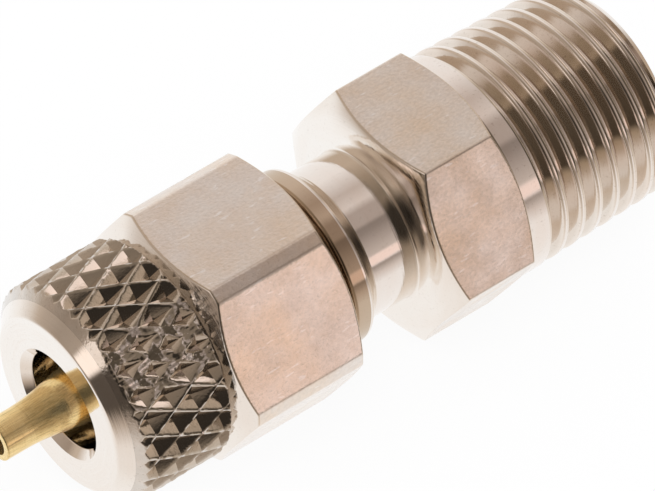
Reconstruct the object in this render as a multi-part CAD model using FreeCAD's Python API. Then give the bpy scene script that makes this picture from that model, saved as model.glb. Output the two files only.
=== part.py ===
import FreeCAD, Part

import math
import os

# Straight threaded fitting for a small plastic hose, lying on the flats of its hexagons.
# The flow axis is X. The origin is on the axis, in the plane of the body hexagon's face on the
# pipe thread side. +X points out of the pipe thread, -X out of the hose nozzle, and +Z is up.
# All lengths are millimetres.

# Hexagons, of the body and of the union nut
ACROSS_FLATS = 10.0
HEX_CHAMFER_ANGLE = 30.0
BODY_HEX_LENGTH = 4.5
BODY_HEX_FACE_RADIUS = 4.55

# Taper pipe thread, size 1/8: 28 turns an inch, 55 degree flanks, taper 1 in 16
THREAD_REACH = 8.0
PLAIN_STRETCH = 1.03
THREAD_PITCH = 25.4 / 28
THREAD_GAUGE_DIAMETER = 9.728
THREAD_GAUGE_LENGTH = 4.0
THREAD_TAPER = 1.0 / 16
THREAD_DEPTH = 0.56
THREAD_ROOT_WIDTH = 0.08
THREAD_FLANK_ANGLE = 27.5
THREAD_RUNOUT_TURN = 30.0
THREAD_RUNOUT_LENGTH = 0.5
THREAD_ENTRY_TURNS = 1.5
THREAD_TOOL_LIFT = 0.2
THREAD_END_RADIUS = 4.05

# Neck, collar and shank of the body
NECK_RADIUS = 3.35
NECK_LENGTH = 2.15
NECK_FILLET = 0.12
COLLAR_RADIUS = 3.9
COLLAR_WIDTH = 0.85
COLLAR_EDGE = 0.12
RUNOUT_RADIUS = 3.3
RUNOUT_WIDTH = 0.65
SHANK_RADIUS = 3.65
SHANK_LENGTH = 6.65
NOSE_RADIUS = 2.2
FLOW_BORE_RADIUS = 2.0
FLOW_BORE_DEPTH = 19.5
FLOW_BORE_EDGE = 0.3
DRILL_POINT_ANGLE = 59.0

# Union nut
NUT_LENGTH = 11.4
NUT_FACE_RADIUS = 3.85
NUT_BEVEL_LENGTH = 0.85
NUT_CORNER_RADIUS = 5.6
NUT_END_FACE_RADIUS = 4.8
TUBE_HOLE_RADIUS = 2.15
COUNTERSINK = 0.35
SEAT_DEPTH = 2.95
SEAT_CLEARANCE = 0.2
SHANK_CLEARANCE = 0.05
NUT_ENTRY_EDGE = 0.4

# Diamond knurl of the nut: pits between two crossing sets of sharp ridges
KNURL_RADIUS = 4.9
KNURL_END = 5.12
KNURL_END_RADIUS = 4.6
KNURL_END_BEVEL = 0.25
KNURL_COUNT = 25
KNURL_ANGLE = 30.0
KNURL_DEPTH = 0.46
KNURL_OVERLAP = 0.1
KNURL_PHASE = 0.267
KNURL_TURN = 1.3
KNURL_TOOL_LIFT = 0.01

# Nozzle, pressed into the nose of the body
NOZZLE_TIP_RADIUS = 0.88
NOZZLE_TIP_EDGE = 0.06
NOZZLE_LENGTH = 5.8
NOZZLE_BASE_RADIUS = 1.6
NOZZLE_CONE_ANGLE = 10.2
NOZZLE_BLEND_RADIUS = 9.0
NOZZLE_COLLAR_RADIUS = 2.0
NOZZLE_COLLAR_WIDTH = 0.5
NOZZLE_SHANK_RADIUS = 1.25
NOZZLE_SHANK_LENGTH = 3.0
NOZZLE_BORE_RADIUS = 0.6

# Stations along the axis that several pieces share
BODY_HEX_START = -BODY_HEX_LENGTH
NECK_START = BODY_HEX_START - NECK_LENGTH
COLLAR_END = NECK_START - (COLLAR_RADIUS - NECK_RADIUS)
COLLAR_START = COLLAR_END - COLLAR_WIDTH
SHANK_END = COLLAR_START - RUNOUT_WIDTH
SHANK_START = SHANK_END - SHANK_LENGTH
NOSE_FACE = SHANK_START - (SHANK_RADIUS - NOSE_RADIUS)
NUT_BORE_RADIUS = SHANK_RADIUS + SHANK_CLEARANCE
NUT_FACE = NOSE_FACE - (NOSE_RADIUS - TUBE_HOLE_RADIUS) - SEAT_CLEARANCE - SEAT_DEPTH
HEX_CORNER_RADIUS = ACROSS_FLATS / math.sqrt(3)
CHAMFER_SLOPE = math.tan(math.radians(HEX_CHAMFER_ANGLE))


def turned(points):
    """A solid turned about the X axis from a profile of (x, radius) points, closed to the axis."""
    start = FreeCAD.Vector(points[0][0], 0, 0)
    end = FreeCAD.Vector(points[-1][0], 0, 0)
    outline = [start] + [FreeCAD.Vector(x, radius, 0) for x, radius in points] + [end, start]
    return turned_wire(Part.makePolygon(outline))


def turned_wire(wire):
    """A solid turned about the X axis from one closed wire in the XY plane."""
    return Part.Face(wire).revolve(FreeCAD.Vector(), FreeCAD.Vector(1, 0, 0), 360)


def hexagon_bar(start, end):
    """A hexagonal bar along X with flats at the top and the bottom."""
    corners = []
    for step in range(7):
        angle = math.radians(60 * step)
        corners.append(FreeCAD.Vector(start, HEX_CORNER_RADIUS * math.cos(angle),
                                      HEX_CORNER_RADIUS * math.sin(angle)))
    face = Part.Face(Part.makePolygon(corners))
    return face.extrude(FreeCAD.Vector(end - start, 0, 0))


def turned_hexagon(start, end, start_radius, end_radius, corner_radius):
    """A hexagon whose corners are turned off by a cone at each end and by a cylinder between."""
    points = [
        (start, start_radius),
        (start + (corner_radius - start_radius) * CHAMFER_SLOPE, corner_radius),
        (end - (corner_radius - end_radius) * CHAMFER_SLOPE, corner_radius),
        (end, end_radius),
    ]
    return hexagon_bar(start, end).common(turned(points))


def thread_radius(x):
    """Crest radius of the taper thread at x."""
    from_end = THREAD_REACH - x
    return (THREAD_GAUGE_DIAMETER + (from_end - THREAD_GAUGE_LENGTH) * THREAD_TAPER) / 2


def helix_along(height, start_radius, cone_angle):
    """A helix with the thread's pitch that rises about +Z and widens, from height 0 and turn 0."""
    return Part.Wire(Part.makeLongHelix(THREAD_PITCH, height, start_radius, cone_angle).Edges)


def groove_section(root_radius):
    """The V section that is carried along the helix, standing out past the thread's crest."""
    tool_depth = THREAD_DEPTH + THREAD_TOOL_LIFT
    half_root = THREAD_ROOT_WIDTH / 2
    half_mouth = half_root + tool_depth * math.tan(math.radians(THREAD_FLANK_ANGLE))
    mouth_radius = root_radius + tool_depth
    return Part.makePolygon([
        FreeCAD.Vector(root_radius, 0, -half_root),
        FreeCAD.Vector(mouth_radius, 0, -half_mouth),
        FreeCAD.Vector(mouth_radius, 0, half_mouth),
        FreeCAD.Vector(root_radius, 0, half_root),
        FreeCAD.Vector(root_radius, 0, -half_root),
    ])


def thread_grooves():
    """The taper thread's groove from past the end face, and its runout, where it lifts off.

    Both are made rising along +Z and widening, then laid along -X from the small end. The runout
    is carried on from the groove's own end face, so that the two meet exactly."""
    origin = FreeCAD.Vector()
    upwards = FreeCAD.Vector(0, 0, 1)
    overrun = THREAD_ENTRY_TURNS * THREAD_PITCH
    height = THREAD_REACH - PLAIN_STRETCH + overrun
    small_radius = thread_radius(THREAD_REACH + overrun) - THREAD_DEPTH
    large_radius = small_radius + height * THREAD_TAPER / 2
    path = helix_along(height, small_radius, math.degrees(math.atan(THREAD_TAPER / 2)))
    groove = path.makePipeShell([groove_section(small_radius)], True, True)
    groove.rotate(origin, upwards, -360 * height / THREAD_PITCH)

    end = FreeCAD.Vector(large_radius + THREAD_DEPTH / 2, 0, height)
    end_face = min(groove.Faces, key=lambda face: (face.CenterOfMass - end).Length)
    runout_height = THREAD_RUNOUT_LENGTH * THREAD_PITCH
    lift_angle = math.degrees(math.atan(THREAD_DEPTH / runout_height))
    runout_path = helix_along(runout_height, large_radius, lift_angle)
    runout_path.translate(FreeCAD.Vector(0, 0, height))
    runout = runout_path.makePipeShell([end_face.OuterWire], True, True)
    for tool in (groove, runout):
        tool.rotate(origin, upwards, 90 - THREAD_RUNOUT_TURN)
        tool.rotate(origin, FreeCAD.Vector(0, 1, 0), -90)
        tool.translate(FreeCAD.Vector(THREAD_REACH + overrun, 0, 0))
    return [groove, runout]


def neck_side():
    """Nose, shank, runout, collar and neck of the body, up to the middle of its hexagon."""
    points = [
        (NOSE_FACE, NOSE_RADIUS),
        (SHANK_START, SHANK_RADIUS),
        (SHANK_END, SHANK_RADIUS),
        (SHANK_END, RUNOUT_RADIUS),
        (COLLAR_START, RUNOUT_RADIUS),
        (COLLAR_START, COLLAR_RADIUS - COLLAR_EDGE),
        (COLLAR_START + COLLAR_EDGE, COLLAR_RADIUS),
        (COLLAR_END, COLLAR_RADIUS),
        (NECK_START, NECK_RADIUS),
        (BODY_HEX_START - NECK_FILLET, NECK_RADIUS),
        (BODY_HEX_START, NECK_RADIUS + NECK_FILLET),
        (BODY_HEX_START / 2, NECK_RADIUS + NECK_FILLET),
    ]
    return turned(points)


def thread_side():
    """The plain stretch and the thread's blank with its end chamfer, from inside the hexagon."""
    plain_radius = thread_radius(PLAIN_STRETCH)
    end_radius = thread_radius(THREAD_REACH)
    points = [
        (BODY_HEX_START / 2, plain_radius),
        (PLAIN_STRETCH, plain_radius),
        (THREAD_REACH - (end_radius - THREAD_END_RADIUS), end_radius),
        (THREAD_REACH, THREAD_END_RADIUS),
    ]
    return turned(points)


def body_bore():
    """The bore through the body: wide from the thread end, then the nozzle's hole."""
    bore_end = THREAD_REACH - FLOW_BORE_DEPTH
    point = (FLOW_BORE_RADIUS - NOZZLE_SHANK_RADIUS) / math.tan(math.radians(DRILL_POINT_ANGLE))
    points = [
        (NOSE_FACE, NOZZLE_SHANK_RADIUS),
        (bore_end - point, NOZZLE_SHANK_RADIUS),
        (bore_end, FLOW_BORE_RADIUS),
        (THREAD_REACH - FLOW_BORE_EDGE, FLOW_BORE_RADIUS),
        (THREAD_REACH, FLOW_BORE_RADIUS + FLOW_BORE_EDGE),
    ]
    return turned(points)


def fitting_body():
    """The turned body: neck side, hexagon and pipe thread in one piece, bored through."""
    hexagon = turned_hexagon(BODY_HEX_START, 0, BODY_HEX_FACE_RADIUS,
                             thread_radius(PLAIN_STRETCH), HEX_CORNER_RADIUS)
    body = hexagon.fuse([neck_side(), thread_side()]).removeSplitter()
    return body.cut(thread_grooves()).cut(body_bore())


def knurl_pit(x, turn):
    """The tool for one pit: a four sided pyramid, base outwards, on a radius at turn degrees.

    Neighbouring pits overlap a little at the base, so that they meet in sharp ridges."""
    half_round = math.pi * KNURL_RADIUS / KNURL_COUNT + KNURL_OVERLAP / 2
    half_long = half_round / math.tan(math.radians(KNURL_ANGLE))
    base = KNURL_RADIUS + KNURL_TOOL_LIFT
    corners = [
        FreeCAD.Vector(x - half_long, 0, base),
        FreeCAD.Vector(x, half_round, base),
        FreeCAD.Vector(x + half_long, 0, base),
        FreeCAD.Vector(x, -half_round, base),
    ]
    tip = FreeCAD.Vector(x, 0, KNURL_RADIUS - KNURL_DEPTH)
    faces = [Part.Face(Part.makePolygon(corners + corners[:1]))]
    for first, second in zip(corners, corners[1:] + corners[:1]):
        faces.append(Part.Face(Part.makePolygon([first, second, tip, first])))
    pit = Part.Solid(Part.Shell(faces))
    pit.rotate(FreeCAD.Vector(), FreeCAD.Vector(1, 0, 0), turn)
    return pit


def knurl_pits():
    """All the pits: rings half a pitch apart along the nut, each turned half a pitch."""
    step = 360.0 / KNURL_COUNT
    half_pitch = math.pi * KNURL_RADIUS / KNURL_COUNT / math.tan(math.radians(KNURL_ANGLE))
    rings = int((KNURL_END + half_pitch) / half_pitch) + 1
    pits = []
    for ring in range(rings):
        x = NUT_FACE + (ring + KNURL_PHASE) * half_pitch
        if x - half_pitch > NUT_FACE + KNURL_END:
            continue
        for index in range(KNURL_COUNT):
            pits.append(knurl_pit(x, KNURL_TURN + (index + 0.5 * (ring % 2)) * step))
    return pits


def knurled_head():
    """The front of the nut: face, bevel and knurled band, cut before it joins the hexagon."""
    points = [
        (NUT_FACE, NUT_FACE_RADIUS),
        (NUT_FACE + NUT_BEVEL_LENGTH, KNURL_RADIUS),
        (NUT_FACE + KNURL_END - KNURL_END_BEVEL, KNURL_RADIUS),
        (NUT_FACE + KNURL_END, KNURL_END_RADIUS),
    ]
    return turned(points).cut(knurl_pits())


def nut_bore():
    """The way through the nut: countersink, tube hole, conical seat and the bore for the shank."""
    seat = NUT_FACE + SEAT_DEPTH
    seat_end = seat + NUT_BORE_RADIUS - TUBE_HOLE_RADIUS
    end = NUT_FACE + NUT_LENGTH
    points = [
        (NUT_FACE, TUBE_HOLE_RADIUS + COUNTERSINK),
        (NUT_FACE + COUNTERSINK, TUBE_HOLE_RADIUS),
        (seat, TUBE_HOLE_RADIUS),
        (seat_end, NUT_BORE_RADIUS),
        (end - NUT_ENTRY_EDGE, NUT_BORE_RADIUS),
        (end, NUT_BORE_RADIUS + NUT_ENTRY_EDGE),
    ]
    return turned(points)


def union_nut():
    """The union nut: knurled head and hexagon in one piece, bored for the hose and the shank."""
    hexagon = turned_hexagon(NUT_FACE + KNURL_END, NUT_FACE + NUT_LENGTH, KNURL_END_RADIUS,
                             NUT_END_FACE_RADIUS, NUT_CORNER_RADIUS)
    return knurled_head().fuse(hexagon).cut(nut_bore())


def nozzle():
    """The hose nozzle: pressed shank, collar on the body's nose, cone and straight tip, bored."""
    collar_front = NOSE_FACE - NOZZLE_COLLAR_WIDTH
    tip = collar_front - NOZZLE_LENGTH
    shank_end = NOSE_FACE + NOZZLE_SHANK_LENGTH
    angle = math.radians(NOZZLE_CONE_ANGLE)
    corner = collar_front - (NOZZLE_BASE_RADIUS - NOZZLE_TIP_RADIUS) / math.tan(angle)
    blend = NOZZLE_BLEND_RADIUS * math.tan(angle / 2)
    bulge = NOZZLE_BLEND_RADIUS * (1 / math.cos(angle / 2) - 1)
    vector = FreeCAD.Vector
    blend_start = vector(corner - blend, NOZZLE_TIP_RADIUS, 0)
    blend_middle = vector(corner - bulge * math.sin(angle / 2),
                          NOZZLE_TIP_RADIUS + bulge * math.cos(angle / 2), 0)
    blend_end = vector(corner + blend * math.cos(angle),
                       NOZZLE_TIP_RADIUS + blend * math.sin(angle), 0)
    front = [
        vector(tip, 0, 0),
        vector(tip, NOZZLE_TIP_RADIUS - NOZZLE_TIP_EDGE, 0),
        vector(tip + NOZZLE_TIP_EDGE, NOZZLE_TIP_RADIUS, 0),
        blend_start,
    ]
    rear = [
        blend_end,
        vector(collar_front, NOZZLE_BASE_RADIUS, 0),
        vector(collar_front, NOZZLE_COLLAR_RADIUS, 0),
        vector(NOSE_FACE, NOZZLE_COLLAR_RADIUS, 0),
        vector(NOSE_FACE, NOZZLE_SHANK_RADIUS, 0),
        vector(shank_end, NOZZLE_SHANK_RADIUS, 0),
        vector(shank_end, 0, 0),
        vector(tip, 0, 0),
    ]
    arc = Part.Arc(blend_start, blend_middle, blend_end).toShape()
    outline = Part.Wire(Part.makePolygon(front).Edges + [arc] + Part.makePolygon(rear).Edges)
    bore = turned([(tip, NOZZLE_BORE_RADIUS), (shank_end, NOZZLE_BORE_RADIUS)])
    return turned_wire(outline).cut(bore)


def main():
    """Write one STEP file for each piece."""
    os.makedirs("parts", exist_ok=True)
    pieces = {"fitting_body": fitting_body, "union_nut": union_nut, "nozzle": nozzle}
    for name, make in pieces.items():
        solid, = make().Solids
        print(name, "valid", solid.isValid(), "volume", round(solid.Volume, 2))
        solid.exportStep(os.path.join("parts", name + ".step"))


main()
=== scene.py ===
import math

import bpy
import numpy as np
from bpy.props import FloatProperty, FloatVectorProperty, PointerProperty
from mathutils import Matrix, Vector


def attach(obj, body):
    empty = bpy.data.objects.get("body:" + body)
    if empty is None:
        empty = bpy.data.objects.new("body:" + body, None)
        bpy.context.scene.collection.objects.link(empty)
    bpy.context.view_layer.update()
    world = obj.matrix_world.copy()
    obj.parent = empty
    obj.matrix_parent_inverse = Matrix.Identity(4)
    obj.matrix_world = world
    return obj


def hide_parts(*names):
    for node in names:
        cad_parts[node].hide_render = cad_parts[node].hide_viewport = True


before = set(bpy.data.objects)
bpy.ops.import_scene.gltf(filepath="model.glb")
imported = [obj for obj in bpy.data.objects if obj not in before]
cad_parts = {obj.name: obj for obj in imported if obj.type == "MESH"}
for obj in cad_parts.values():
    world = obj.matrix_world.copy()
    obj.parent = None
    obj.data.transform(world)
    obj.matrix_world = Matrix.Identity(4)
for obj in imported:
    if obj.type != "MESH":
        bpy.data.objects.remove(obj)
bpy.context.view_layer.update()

bl_info = {
    "name": "Straight threaded fitting",
    "version": (1, 0, 0),
    "blender": (4, 5, 0),
    "location": "View3D > Sidebar > Fitting",
    "description": "Detailed pieces, finishes and a stage for a straight hose fitting",
    "category": "Object",
}

# The flow axis is X. Sizes below are millimetres and angles are degrees, from +Y about +X.
MILLIMETRE = 0.001
# Points closer than this are one point, in metres, and edges sharper than this angle stay sharp.
WELD = 1e-8
SHARP_ANGLE = 35
# Steps of an eased corner, and the width of the blend where two turned surfaces meet
EASE_STEPS = 4
BLEND = 0.02

# Hexagons: half the width across flats, how far corners are eased, and the chamfers' slope
FLAT_RADIUS = 5.0
CORNER_EASE = 0.09
CHAMFER_SLOPE = math.tan(math.radians(30))

# Stations of the body along X, from the nose to the thread's end
NOSE_FACE = -16.8
SHANK_END = -8.7
COLLAR_START = -8.05
COLLAR_END = -7.2
FILM_GAP = 0.12
NECK_START = -6.65
BODY_HEX_START = -4.5
THREAD_REACH = 8.0
BORE_END = -11.5
NOZZLE_HOLE_END = -11.95

# Radii of the body
NOSE_RADIUS = 2.2
NOZZLE_HOLE_RADIUS = 1.25
RUNOUT_RADIUS = 3.3
COLLAR_RADIUS = 3.9
NECK_RADIUS = 3.35
BODY_HEX_FACE_RADIUS = 4.55
FLOW_BORE_RADIUS = 2.0
FLOW_BORE_EDGE = 0.3

# Taper pipe thread: 28 turns an inch, 55 degrees between flanks, radius growing 1 in 32
TAPER_PITCH = 25.4 / 28
TAPER_GAUGE_RADIUS = 4.864
TAPER_GAUGE_LENGTH = 4.0
TAPER = 1 / 32
TAPER_FLANK = math.tan(math.radians(27.5))
TAPER_ROOT = 0.04
CREST_EASE = 0.05
PLAIN_STRETCH = 1.03
WINDING_START = 0.15
TAPER_END_RADIUS = 4.05
RUNOUT_TURN = 30.0
RUNOUT_TURNS = 0.5

# Thread of the shank and of the union nut, of 1 mm pitch
SHANK_PITCH = 1.0
SHANK_FLANK = math.tan(math.radians(60))
SHANK_CREST = 3.93
SHANK_ROOT = 3.35
SHANK_CREST_HALF = 0.0625
RUNOUT_SLOPE = 1.2
NUT_GROOVE = 4.0
NUT_CREST = 3.5
NUT_GROOVE_HALF = 0.075

# Union nut
NUT_FACE = -20.0
NUT_FACE_RADIUS = 3.85
NUT_BEVEL_END = -19.15
KNURL_RADIUS = 4.9
KNURL_BEVEL_START = -15.13
KNURL_END = -14.88
KNURL_END_RADIUS = 4.6
NUT_CORNER_RADIUS = 5.6
NUT_END = -8.6
NUT_END_RADIUS = 4.8
NUT_ENTRY_RADIUS = 4.1
TUBE_HOLE_RADIUS = 2.15
COUNTERSINK = 0.35
SEAT = -17.05
SEAT_END = -15.5
NUT_BORE_RADIUS = 3.7

# Knurl: pits in a turn, half their pitch along X, and the place and angle of the first
KNURL_COUNT = 25
KNURL_HALF_PITCH = math.pi * KNURL_RADIUS / KNURL_COUNT / math.tan(math.radians(30))
KNURL_FIRST_PIT = NUT_FACE + 0.267 * KNURL_HALF_PITCH
KNURL_TURN = 91.3
# Band of the knurl that was squeezed: where it starts and is full, and where it fades and ends
SQUEEZE_START = (108, 119)
SQUEEZE_END = (138, 150)
TORN_DEPTH = 0.022
NICK_DEPTH = 0.012
# Share of the pits' depth at the bevel, and where along X from there it begins to grow and is full
BEVEL_PIT_SHARE = 0.35
BEVEL_PIT_GROWS = (-0.45, 0.3)
# Rings of points along one pit
KNURL_ROWS = 20

# Nozzle
NOZZLE_TIP = -23.1
NOZZLE_TIP_RADIUS = 0.88
NOZZLE_BASE_RADIUS = 1.6
NOZZLE_COLLAR = -17.3
NOZZLE_COLLAR_RADIUS = 2.0
NOZZLE_SHANK_END = -13.8
NOZZLE_SHANK_RADIUS = 1.24
NOZZLE_BORE_RADIUS = 0.6
NOZZLE_CONE = math.radians(10.2)
NOZZLE_BLEND = 9.0

BODY_COLUMNS = 288
NUT_COLUMNS = 500
NOZZLE_COLUMNS = 120


def smooth_min(first, second, width):
    """The lesser of two heights, eased: min - max(width - |first - second|, 0)^2 / (4 width)."""
    gap = np.maximum(width - np.abs(first - second), 0.0)
    return np.minimum(first, second) - gap ** 2 / (4 * width)


def ramp(value, start, end):
    """0 before start, 1 after end and t^2 (3 - 2 t) between."""
    share = np.clip((value - start) / (end - start), 0.0, 1.0)
    return share * share * (3 - 2 * share)


def column_angles(count, start, gather=0.0):
    """One turn of column angles, drawn to the hexagon's corners.

    angle = start + 60 (s - gather sin(2 pi s) / (2 pi)), for s from 0 to 6."""
    sixths = np.arange(count + 1) * 6 / count
    return start + 60 * (sixths - gather * np.sin(2 * np.pi * sixths) / (2 * np.pi))


def hexagon_radius(angles):
    """Radius of a hexagon with rounded corners.

    On a flat it is apothem / cos t, with t the angle from the flat's middle. At a corner the ray
    meets a circle of radius ease about C: r = C.u + sqrt((C.u)^2 - |C|^2 + ease^2)."""
    from_middle = np.radians(np.abs(np.mod(angles, 60) - 30))
    inner = FLAT_RADIUS - CORNER_EASE
    side = inner * math.tan(math.radians(30))
    reach = inner * np.cos(from_middle) + side * np.sin(from_middle)
    rest = np.maximum(reach ** 2 - inner ** 2 - side ** 2 + CORNER_EASE ** 2, 0.0)
    rounded = reach + np.sqrt(rest)
    return np.where(from_middle < math.atan(side / FLAT_RADIUS),
                    FLAT_RADIUS / np.cos(from_middle), rounded)


def eased_rings(corners, angles, steps=EASE_STEPS, support=0.04):
    """Rings along a profile whose corners are eased.

    A corner is (x, radius, cut). Where cut is above 0, the corner becomes the curve
    (1 - t)^2 A + 2 t (1 - t) P + t^2 B, with A and B at that distance before and after P, and one
    more ring stands a little outside each end, to keep the shading of the long faces level."""
    wide = np.ones_like(angles)
    points = [np.stack([x * wide, radius * wide]) for x, radius, _ in corners]
    rings = []
    for number, (point, corner) in enumerate(zip(points, corners)):
        cut = corner[2]
        if not cut:
            rings.append(point)
            continue
        sides = []
        for neighbour in (points[number - 1], points[number + 1]):
            length = np.hypot(*(neighbour - point))
            towards = (neighbour - point) / length
            near = np.minimum(cut, 0.4 * length)
            outer = near + np.minimum(support, 0.2 * length)
            sides.append((point + towards * near, point + towards * outer))
        (back, back_outer), (onward, onward_outer) = sides
        rings.append(back_outer)
        for t in np.linspace(0, 1, steps + 1):
            rings.append((1 - t) ** 2 * back + 2 * t * (1 - t) * point + t ** 2 * onward)
        rings.append(onward_outer)
    rings = np.array(rings)
    return rings[:, 0], rings[:, 1]


def winding_rings(angles, start, end, pitch, centre, phases):
    """x of rings that wind along a thread: centre + pitch (angle / 360 + k) + phase.

    They are kept from start to end, and a plain ring stands at each end."""
    lead = pitch * angles / 360
    first = math.floor((start - centre - lead.max()) / pitch) - 1
    last = math.ceil((end - centre - lead.min()) / pitch) + 1
    offsets = np.add.outer(np.arange(first, last + 1) * pitch, np.asarray(phases)).ravel()
    x = np.clip(centre + np.add.outer(offsets, lead), start, end)
    x = x[(x.max(axis=1) > start) & (x.min(axis=1) < end)]
    return np.vstack([np.full_like(lead, start), x, np.full_like(lead, end)])


def mirrored_phases(values, pitch):
    """Phases on both sides of 0, with 0 and half a pitch."""
    return sorted([0.0, pitch / 2, *values, *(-value for value in values)])


def band_triangles(grid, radius, first, ridged):
    """Two triangles for each four neighbours of a band's grid of points, numbered from first.

    The four are split across the shorter diagonal, or the higher one on a ridged band."""
    index = first + np.arange(radius.size).reshape(radius.shape)
    a, b, c, d = index[:-1, :-1], index[:-1, 1:], index[1:, 1:], index[1:, :-1]
    if ridged:
        falling = radius[:-1, :-1] + radius[1:, 1:] >= radius[:-1, 1:] + radius[1:, :-1]
    else:
        falling = (np.linalg.norm(grid[:-1, :-1] - grid[1:, 1:], axis=-1)
                   <= np.linalg.norm(grid[:-1, 1:] - grid[1:, :-1], axis=-1))
    falling = falling[..., None]
    near = np.where(falling, np.stack([a, b, c], -1), np.stack([a, b, d], -1))
    far = np.where(falling, np.stack([a, c, d], -1), np.stack([b, c, d], -1))
    return np.concatenate([near.reshape(-1, 3), far.reshape(-1, 3)])


def closed_surface(name, points, relief, faces, slots):
    """Equal points joined, empty triangles dropped, and faces turned outwards.

    The volume is the sum of p.(q x r) over the triangles p, q, r, and its sign says which way
    they face. Each edge has to belong to two triangles."""
    _, kept, joined = np.unique(np.round(points / WELD).astype(np.int64), axis=0,
                                return_index=True, return_inverse=True)
    points, relief = points[kept], relief[kept]
    faces = joined.reshape(-1)[faces]
    whole = np.all(faces != np.roll(faces, 1, axis=1), axis=1)
    faces, slots = faces[whole], slots[whole]
    corner = points[faces]
    if np.einsum("ij,ij->", corner[:, 0], np.cross(corner[:, 1], corner[:, 2])) < 0:
        faces = faces[:, ::-1]
    sides = np.sort(faces[:, [0, 1, 1, 2, 2, 0]].reshape(-1, 2), axis=1)
    edges, uses = np.unique(sides, axis=0, return_counts=True)
    if np.any(uses != 2):
        where = points[edges[uses != 2][:, 0]][:6]
        raise RuntimeError(f"{name} isn't closed: {np.sum(uses != 2)} edges, as at {where}")
    return points, relief, faces, slots


def add_object(name, data):
    """An object in the scene."""
    made = bpy.data.objects.new(name, data)
    bpy.context.scene.collection.objects.link(made)
    return made


def mesh_object(name, points, relief, faces, slots, finishes):
    """An object with these points and triangles, its relief as an attribute, and its finishes."""
    mesh = bpy.data.meshes.new(name)
    mesh.vertices.add(len(points))
    mesh.vertices.foreach_set("co", points.astype(np.float32).ravel())
    mesh.loops.add(faces.size)
    mesh.loops.foreach_set("vertex_index", faces.astype(np.int32).ravel())
    mesh.polygons.add(len(faces))
    mesh.polygons.foreach_set("loop_start", np.arange(0, faces.size, 3, dtype=np.int32))
    mesh.polygons.foreach_set("material_index", slots.astype(np.int32))
    mesh.polygons.foreach_set("use_smooth", np.ones(len(faces), dtype=bool))
    mesh.update(calc_edges=True)
    attribute = mesh.attributes.new("relief", "FLOAT", "POINT")
    attribute.data.foreach_set("value", relief.astype(np.float32))
    mesh.set_sharp_from_angle(angle=math.radians(SHARP_ANGLE))
    for material in finishes:
        mesh.materials.append(material)
    return add_object(name, mesh)


def ring_object(name, angles, bands, finishes):
    """One closed mesh from bands of rings about X.

    A band is (x, radius, finish, relief, ridged), each array with a row for each ring and a
    column for each angle, and a point is (x, radius cos angle, radius sin angle)."""
    turn = np.radians(angles)
    turn[-1] = turn[0]
    points, reliefs, faces, slots = [], [], [], []
    first = 0
    for x, radius, finish, relief, ridged in bands:
        grid = np.stack([x, radius * np.cos(turn), radius * np.sin(turn)], axis=-1)
        faces.append(band_triangles(grid, radius, first, ridged))
        slots.append(np.full(len(faces[-1]), finish))
        points.append(grid.reshape(-1, 3))
        reliefs.append(np.broadcast_to(relief, radius.shape).ravel())
        first += radius.size
    surface = closed_surface(name, np.concatenate(points) * MILLIMETRE,
                             *map(np.concatenate, (reliefs, faces, slots)))
    return mesh_object(name, *surface, finishes)


def taper_radius(x):
    """Crest radius of the taper thread: gauge + (distance from the end - gauge length) / 32."""
    from_end = THREAD_REACH - np.maximum(x, PLAIN_STRETCH)
    return TAPER_GAUGE_RADIUS + (from_end - TAPER_GAUGE_LENGTH) * TAPER


def taper_thread(x, angles, depth):
    """Radius of the taper thread and its relief, 0 on the crest and 1 at the root.

    The groove's middle lies where (x - plain stretch) / pitch - (angle - runout turn) / 360 is
    whole. Its walls rise by 1 / tan(flank) for each millimetre from the root. Over half a turn
    past its end the root lifts to the crest."""
    wound = (x - PLAIN_STRETCH) / TAPER_PITCH - (angles - RUNOUT_TURN) / 360
    groove = np.round(wound)
    across = np.abs(wound - groove) * TAPER_PITCH
    past_end = groove + (angles - RUNOUT_TURN) / 360
    share = np.clip(1 + past_end / RUNOUT_TURNS, 0.0, 1.0)
    crest = taper_radius(x)
    wall = crest - depth * share + np.maximum(across - TAPER_ROOT, 0.0) / TAPER_FLANK
    radius = smooth_min(crest, wall, 0.001 + CREST_EASE * share)
    radius = smooth_min(radius, TAPER_END_RADIUS + THREAD_REACH - x, BLEND)
    return radius, np.clip((crest - radius) / depth, 0.0, 1.0)


def straight_thread(x, angles, high, low, half):
    """Radius of a 60 degree thread, high at whole x / pitch - angle / 360 and low between."""
    wound = x / SHANK_PITCH - angles / 360
    across = np.abs(wound - np.round(wound)) * SHANK_PITCH
    return np.clip(high - (across - half) * SHANK_FLANK, low, high)


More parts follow.
